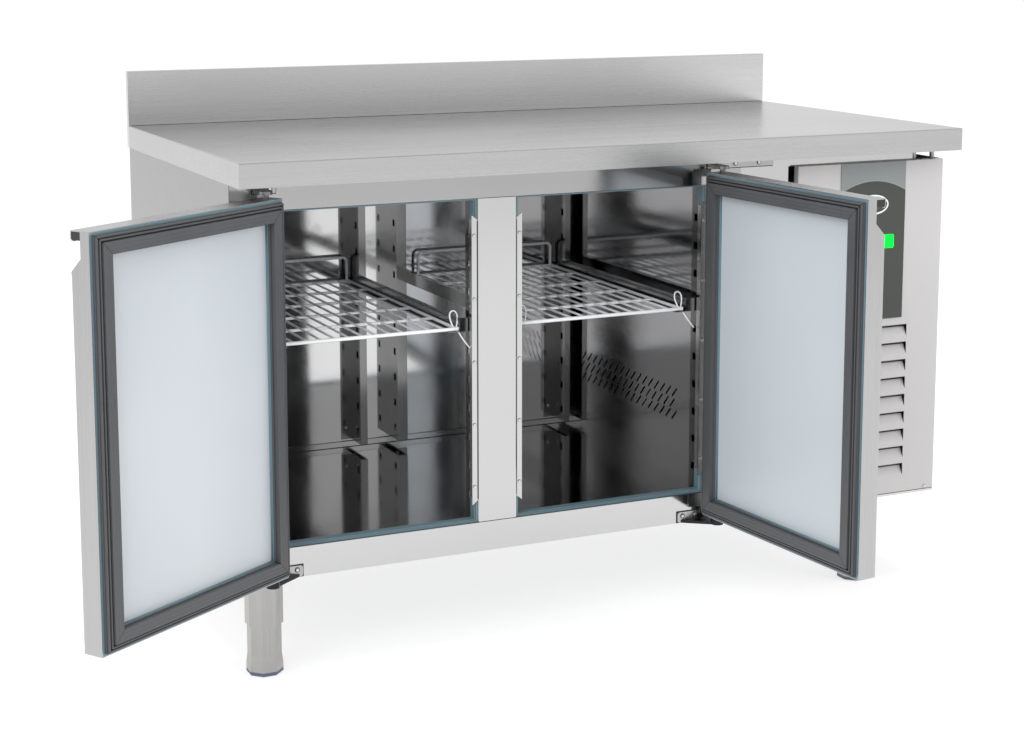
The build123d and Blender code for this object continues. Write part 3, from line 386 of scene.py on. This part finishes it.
def steel_set():
    """Every steel look by record slot."""
    return {
        "worktop_steel": brushed("worktop_steel", (0.505, 0.505, 0.505), 0.26, "X"),
        # cabinet steel is painted darker than the door steel, as painted shade on the side panels
        "cabinet_steel": brushed("cabinet_steel", (0.34, 0.34, 0.34), 0.26, "Z"),
        "frame_steel": mirror_steel("frame_steel", (0.55, 0.55, 0.55), 0.10, 0.05, 0.0005),
        "liner_steel": mirror_steel("liner_steel", (0.575, 0.575, 0.58), 0.075),
        # rack steel is painted dark, as painted shade on the posts' faces inside the bays
        "rack_steel": mirror_steel("rack_steel", (0.20, 0.20, 0.20), 0.14),
        "hinge_steel": hinge_look(),
        "door_steel": brushed("door_steel", (0.44, 0.44, 0.44), 0.26, "Z"),
        "leg_steel": foot_look(),
        "galvanised": bare_metal("galvanised", (0.55, 0.56, 0.57), 0.42, (25, 25, 25), 0.2),
        "screw_steel": bare_metal("screw_steel", (0.62, 0.61, 0.60), 0.22),
    }


def looks_by_slot():
    """Every look by record slot."""
    looks = steel_set()
    looks.update(
        core_board=plastic("core_board", (0.34, 0.31, 0.27), 0.8, 300, 0.0002, mottle=0.25),
        foam=plastic("foam", (0.72, 0.63, 0.40), 0.9, 500, 0.0003, mottle=0.12),
        break_plastic=breaks_look(),
        shelf_coating=plastic("shelf_coating", (0.86, 0.88, 0.90), 0.24, 700, 0.00002, 0.4, 0.03),
        buffer_rubber=plastic("buffer_rubber", (0.05, 0.05, 0.052), 0.7, mottle=0.2),
        cover_paint=painted("cover_paint", (0.51, 0.50, 0.505), 0.38),
        fascia_film=fascia_look(),
        display_lens=display_look(),
        key_plastic=plastic("key_plastic", (0.05, 0.053, 0.05), 0.32, coat=0.2),
        machine_black=painted("machine_black", (0.012, 0.012, 0.013), 0.36),
        fin_aluminium=bare_metal("fin_aluminium", (0.78, 0.79, 0.80), 0.34),
        pipe_copper=bare_metal("pipe_copper", (0.72, 0.36, 0.22), 0.30, (40, 40, 40), 0.35),
        fan_plastic=plastic("fan_plastic", (0.02, 0.02, 0.021), 0.4),
        tray_plastic=plastic("tray_plastic", (0.05, 0.05, 0.055), 0.6),
        gland_plastic=plastic("gland_plastic", (0.02, 0.02, 0.02), 0.45),
    )
    return looks


def looks_by_node():
    """Looks of the nodes that differ from the rest of their slot, among them lighter and darker copies of
    the steel as painted highlight and painted shade.
    """
    return {
        # upstand: the worktop's brushed steel painted lighter, as a painted highlight
        "upstand": brushed("upstand_steel_painted_highlight", (0.65, 0.65, 0.65), 0.26, "X"),
        # top rail and evaporator cover: darker copies of the bright mirror steel, as painted shade
        "top_rail": mirror_steel("top_rail_steel_painted_shade", (0.41, 0.41, 0.41), 0.10, 0.05, 0.0005),
        "evaporator_cover": mirror_steel("duct_cover_steel_painted_shade", (0.40, 0.40, 0.405), 0.075),
        "left_door_gasket": gasket_look("left"),
        "right_door_gasket": gasket_look("right"),
        "left_door_liner": door_liner_look("left", (0.55, 0.585, 0.615), (0.49, 0.525, 0.555)),
        "right_door_liner": door_liner_look("right", (0.53, 0.57, 0.605), (0.49, 0.53, 0.565)),
    }


def dress(obj, look):
    """Gives a CAD node its look."""
    obj.data.materials.clear()
    obj.data.materials.append(look.material)


# ---------------------------------------------------------------- mesh building blocks


def finish_mesh(name, mesh_data, look, body, smooth=True):
    """Turns a bmesh into a piece that rides on a body."""
    bmesh.ops.recalc_face_normals(mesh_data, faces=mesh_data.faces)
    mesh = bpy.data.meshes.new(name)
    mesh_data.to_mesh(mesh)
    mesh_data.free()
    mesh.materials.append(look.material)
    for polygon in mesh.polygons:
        polygon.use_smooth = smooth
    obj = bpy.data.objects.new(name, mesh)
    bpy.context.scene.collection.objects.link(obj)
    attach(obj, body)


def add_prism(target, rings):
    """Skins a row of closed rings of points, with both ends capped."""
    rows = [[target.verts.new(point) for point in ring] for ring in rings]
    count = len(rows[0])
    for low, high in zip(rows, rows[1:]):
        for i in range(count):
            j = (i + 1) % count
            target.faces.new((low[i], low[j], high[j], high[i]))
    target.faces.new(rows[0])
    target.faces.new(list(reversed(rows[-1])))


def add_block(target, place, x0, x1, y0, y1, z0, z1, bevel=0.4):
    """A block with chamfered edges, in millimetres, put through a placing function."""

    def outline(inset, z):
        left, right, front, back = x0 + inset, x1 - inset, y0 + inset, y1 - inset
        corners = (
            (left + bevel, front),
            (right - bevel, front),
            (right, front + bevel),
            (right, back - bevel),
            (right - bevel, back),
            (left + bevel, back),
            (left, back - bevel),
            (left, front + bevel),
        )
        return [place(x, y, z) for x, y in corners]

    levels = ((bevel, z0), (0, z0 + bevel), (0, z1 - bevel), (bevel, z1))
    add_prism(target, [outline(inset, z) for inset, z in levels])


def add_tube(target, points, radius, sides=10):
    """A round tube through a list of row-frame points."""
    rings = []
    for index, point in enumerate(points):
        ahead = points[min(index + 1, len(points) - 1)]
        behind = points[max(index - 1, 0)]
        along = (ahead - behind).normalized()
        side = along.cross(Vector((0, 0, 1)))
        if side.length < 0.05:
            side = along.cross(Vector((0, 1, 0)))
        side.normalize()
        up = along.cross(side)
        ring = []
        for turn in circle(sides):
            ring.append(point + (side * math.cos(turn) + up * math.sin(turn)) * radius)
        rings.append(ring)
    add_prism(target, rings)


def cabinet_block(looks, name, slot, box, bevel):
    """One chamfered block on the cabinet as a piece of its own."""
    block = bmesh.new()
    add_block(block, at, *box, bevel)
    finish_mesh(name, block, looks[slot], "cabinet", False)


def circle(steps):
    """Angles evenly round a full turn."""
    return [2 * math.pi * step / steps for step in range(steps)]


# ---------------------------------------------------------------- pieces the CAD leaves out


def lip_end_blocks(looks):
    """Dark blocks that close both ends of each pull's hooked lip."""
    for side in ("left", "right"):
        end_blocks = bmesh.new()
        x0, x1 = SPAN[side]
        slot = "gland_plastic"

        def place(x, y, z, side=side):
            return on_door(side, x, y, z)

        for a, b in ((x0 + 0.1, x0 + 2.4), (x1 - 2.4, x1 - 0.1)):
            add_block(end_blocks, place, a, b, 14.7, 30.6, 777.5, 789.3, 0.3)
        finish_mesh(f"{side}_lip_end_blocks", end_blocks, looks[slot], f"{side}_door", False)


def edge_beads(looks):
    """Thin sealing bead between each gasket and the inner panel."""
    for side in ("left", "right"):
        bead = bmesh.new()
        x0, x1 = SPAN[side]
        inset = 36.2
        y = 44.6
        radius = 0.0013
        corners = [
            (x0 + inset, DOOR_LOW + inset),
            (x1 - inset, DOOR_LOW + inset),
            (x1 - inset, DOOR_HIGH - inset),
            (x0 + inset, DOOR_HIGH - inset),
        ]
        for (ax, az), (bx, bz) in zip(corners, corners[1:] + corners[:1]):
            a = on_door(side, ax, y, az)
            b = on_door(side, bx, y, bz)
            add_tube(bead, [a, a.lerp(b, 0.5), b], radius, 8)
        finish_mesh(f"{side}_door_bead", bead, looks["break_plastic"], f"{side}_door")


def shelf_ties(looks):
    """Cable ties left on the front corners of both shelves: a loop, a head and a loose tail."""
    for side, left in (("left", 86.3), ("right", 518.0)):
        ties = bmesh.new()
        for x, lean in ((left + 7, -1), (left + 312, 1)):
            middle = at(x, 99, 556.5)
            loop = []
            for step in range(33):
                turn = 2 * math.pi * step / 32
                reach = 0.0062 * math.cos(turn) + 0.0018 * math.sin(2 * turn)
                loop.append(middle + Vector((reach, 0.005 * math.sin(turn), 0.0155 * math.sin(turn))))
            add_tube(ties, loop, 0.0014, 8)
            head = at(x + lean * 3.0, 95, 543)

            def place(a, b, c, head=head):
                return head + Vector((a, b, c)) / 1000

            add_block(ties, place, -3.4, 3.4, -3.2, 3.2, -3.2, 3.2, 0.6)
            tail = []
            for step in range(15):
                t = step / 14
                out = lean * 0.021 * t * (0.6 + 0.4 * t)
                tail.append(head + Vector((out, -0.010 * math.sin(1.5 * t), -0.034 * t)))
            add_tube(ties, tail, 0.0013, 8)
        finish_mesh(f"{side}_shelf_ties", ties, looks["shelf_coating"], f"{side}_shelf")


def button_bezel(looks):
    """Raised plain ring round the power button."""
    ring = bmesh.new()
    rows = []
    steps = 56
    foot, crest = 44.45, 43.7
    for width, height, y in ((33.5, 18.5, foot), (33, 18, crest), (30.6, 15.6, crest), (30.1, 15.1, foot)):
        row = []
        for turn in circle(steps):
            x = BUTTON_X + width * math.cos(turn)
            z = BUTTON_Z + height * math.sin(turn)
            row.append(ring.verts.new(at(x, y, z)))
        rows.append(row)
    for low, high in zip(rows, rows[1:] + rows[:1]):
        for i in range(steps):
            j = (i + 1) % steps
            ring.faces.new((low[i], low[j], high[j], high[i]))
    finish_mesh("button_bezel", ring, looks["shelf_coating"], "cabinet")


def seams_and_shadow_line(looks):
    """Dark joint lines where folded sheets meet, as thin beads of sealant, and one painted shadow line
    under the front of the worktop.
    """
    lines = bmesh.new()
    proud, flush, back = FRAME_FRONT - 0.25, FRAME_FRONT - 0.1, FRAME_FRONT + 0.4
    for x0, x1, y0, z0, z1 in (
        (3, 929, proud, OPENING_LOW - 0.6, OPENING_LOW + 0.6),
        (426, 496, proud, OPENING_HIGH - 0.7, OPENING_HIGH + 0.3),
        (3, 424, flush, OPENING_HIGH - 0.4, OPENING_HIGH + 0.2),
        (498, 862, flush, OPENING_HIGH - 0.4, OPENING_HIGH + 0.2),
    ):
        add_block(lines, at, x0, x1, y0, back, z0, z1, 0.1)
    # along the foot of the upstand, then a painted shadow line under the front of the worktop
    add_block(lines, at, 4, 1356, 675.9, 676.5, 850.0, 850.6, 0.1)
    add_block(lines, at, 3, 1296, 59.6, 60.3, 808.2, 809.6, 0.1)
    for x in (425.3, 496.7, 65.3, 862.7):
        add_block(lines, at, x - 0.5, x + 0.5, 60.6, 62.0, 254, 728, 0.1)
    finish_mesh("sealant_and_shadow_lines", lines, looks["gland_plastic"], "cabinet", False)


def floor_lip(looks):
    """Upturned edge of the floor pan along the rear wall, under the rack posts."""
    box = (63, 865.5, 622.0, 624.8, 215.3, 226.4)
    cabinet_block(looks, "floor_pan_lip", "frame_steel", box, 0.7)


def gap_shade_strip(looks):
    """Black strip behind the gap between the fixed front sheet and the louvred cover, as painted shade in
    the gap.
    """
    box = (1028.4, 1052, 84, 86, 166, 788)
    cabinet_block(looks, "cover_gap_shade_strip", "machine_black", box, 0.3)


def air_filter(looks):
    """Black filter mat on the back of the louvres."""
    box = (1105, 1297, 55.3, 58.8, 186, 500)
    cabinet_block(looks, "air_filter", "gland_plastic", box, 0.8)


def hinge_shadow_plates(looks):
    """Black plates behind the hinge plates, a little proud of their edges as a painted shadow gap round
    each plate, and black rings round the screw heads as painted shade.
    """
    shadow_plates = bmesh.new()
    # black plates a little proud of each hinge plate's edges: a painted shadow gap round the plates
    for x0, x1, z0, z1 in (
        (37.6, 113.4, 163.2, 184.6),
        (808.6, 884.4, 163.2, 184.6),
        (37.6, 78.4, 792.4, 809.8),
        (859.6, 995.4, 792.4, 809.8),
    ):
        add_block(shadow_plates, at, x0, x1, FRAME_FRONT - 1.0, FRAME_FRONT + 0.3, z0, z1, 0.2)
    # black rings round the screw heads: painted shade round the screws
    lower_z, upper_z = 176, 801
    heads = [(HINGE_X["left"] + step, lower_z) for step in (27, 52)]
    heads += [(HINGE_X["right"] - step, lower_z) for step in (27, 52)]
    heads += [(x, upper_z) for x in (67, 917, 965)]
    radius = 4.4
    for x, z in heads:
        rings = []
        for y in (HINGE_PLATE_FRONT + 0.2, HINGE_PLATE_FRONT - 0.5):
            rings.append(
                [at(x + radius * math.cos(turn), y, z + radius * math.sin(turn)) for turn in circle(20)]
            )
        add_prism(shadow_plates, rings)
    finish_mesh("hinge_shadow_plates", shadow_plates, looks["machine_black"], "cabinet", False)


def cover_lip(looks):
    """Bright folded edge along the cover's foot, under a dark line."""
    edge = (COVER_LEFT, 1353, 45.2, 46.3, COVER_FOOT, COVER_FOOT + 4.2)
    line = (COVER_LEFT, 1353, 45.6, 46.3, COVER_FOOT + 4.4, COVER_FOOT + 5.2)
    cabinet_block(looks, "cover_lip", "screw_steel", edge, 0.3)
    cabinet_block(looks, "cover_lip_line", "gland_plastic", line, 0.1)


def button_symbols(looks):
    """Small raised pips on the keys and a plain bar on the power button."""
    key_reach = 21
    for name, x, z, half in (
        ("left_key", BUTTON_X - key_reach, KEY_Z, 1.6),
        ("right_key", BUTTON_X + key_reach, KEY_Z, 1.6),
        ("power_button", BUTTON_X, BUTTON_Z, 6),
    ):
        mark = bmesh.new()
        add_block(mark, at, x - half, x + half, 42.85, 43.3, z - 0.9, z + 0.9, 0.2)
        finish_mesh(f"{name}_mark", mark, looks["shelf_coating"], name, False)


# ---------------------------------------------------------------- studio


def lamp(name, place, target, size, power):
    """A large square lamp, pointed at its target."""
    data = bpy.data.lights.new(name, "AREA")
    data.shape = "SQUARE"
    data.size = size
    data.energy = power
    obj = bpy.data.objects.new(name, data)
    obj.location = place
    obj.rotation_euler = (Vector(target) - Vector(place)).to_track_quat("-Z", "Y").to_euler()
    # steel mirrors the sky and the floor only, so no face burns out when seen from behind
    obj.visible_glossy = False
    bpy.context.scene.collection.objects.link(obj)


def studio():
    """A pale floor, a soft sky and three large lamps."""
    floor = bmesh.new()
    bmesh.ops.create_grid(floor, x_segments=2, y_segments=2, size=60)
    mesh = bpy.data.meshes.new("floor")
    floor.to_mesh(mesh)
    floor.free()
    look = Look("studio_floor")
    cloud = look.noise((0.4, 0.4, 0.4), 2.0, 0.5)
    look.set(colour=look.mix(cloud, (0.36, 0.36, 0.36), (0.38, 0.38, 0.38)))
    look.set(rough=look.remap(cloud, 0.3, 0.7, 0.85, 0.95), specular=0.1)
    look.set(glow=(1.0, 1.0, 1.0), glow_strength=0.68)
    mesh.materials.append(look.material)
    obj = bpy.data.objects.new("floor", mesh)
    obj.location.z = -0.0005
    bpy.context.scene.collection.objects.link(obj)
    for settings in LAMPS:
        lamp(*settings)
    sky()


def sky():
    """Even white surroundings, a little dimmer straight in front of the doors."""
    world = bpy.data.worlds.new("studio")
    bpy.context.scene.world = world
    world.use_nodes = True
    tree = world.node_tree
    background = tree.nodes["Background"]
    coords = tree.nodes.new("ShaderNodeTexCoord")
    axes = tree.nodes.new("ShaderNodeSeparateXYZ")
    tree.links.new(coords.outputs["Generated"], axes.inputs[0])
    front = tree.nodes.new("ShaderNodeMapRange")
    front.interpolation_type = "SMOOTHSTEP"
    starts, ends, full, dim = 0.35, 0.9, 0.98, 0.64
    for socket, value in zip(front.inputs[1:], (starts, ends, full, dim)):
        socket.default_value = value
    flip = tree.nodes.new("ShaderNodeMath")
    flip.operation = "MULTIPLY"
    flip.inputs[1].default_value = -1.0
    tree.links.new(axes.outputs[1], flip.inputs[0])
    tree.links.new(flip.outputs[0], front.inputs[0])
    tree.links.new(front.outputs[0], background.inputs["Strength"])
    background.inputs["Color"].default_value = (1, 1, 1, 1)


def camera():
    """The main view: from the front left, slightly above the worktop."""
    data = bpy.data.cameras.new("main")
    data.sensor_width = 36.0
    data.lens = CAMERA_LENS
    data.shift_y = CAMERA_SHIFT
    data.clip_end = 200
    data.dof.use_dof = False
    obj = bpy.data.objects.new("main", data)
    obj.location = at(*CAMERA_PLACE)
    obj.rotation_mode = "XYZ"
    obj.rotation_euler = (math.radians(90 + CAMERA_PITCH), 0, math.radians(-CAMERA_YAW))
    bpy.context.scene.collection.objects.link(obj)
    bpy.context.scene.camera = obj


# ---------------------------------------------------------------- putting it together


looks = looks_by_slot()
own_looks = looks_by_node()
slots = {part["node"]: part["material_slot"] for part in frame["record"]["subparts"]}
for name, obj in nodes.items():
    dress(obj, own_looks[name] if name in own_looks else looks[slots[name]])

lip_end_blocks(looks)
edge_beads(looks)
seams_and_shadow_line(looks)
floor_lip(looks)
gap_shade_strip(looks)
air_filter(looks)
shelf_ties(looks)
button_bezel(looks)
hinge_shadow_plates(looks)
cover_lip(looks)
button_symbols(looks)
studio()
camera()

bpy.context.scene.view_settings.view_transform = "Standard"
bpy.context.scene.view_settings.look = "None"
bpy.context.view_layer.update()
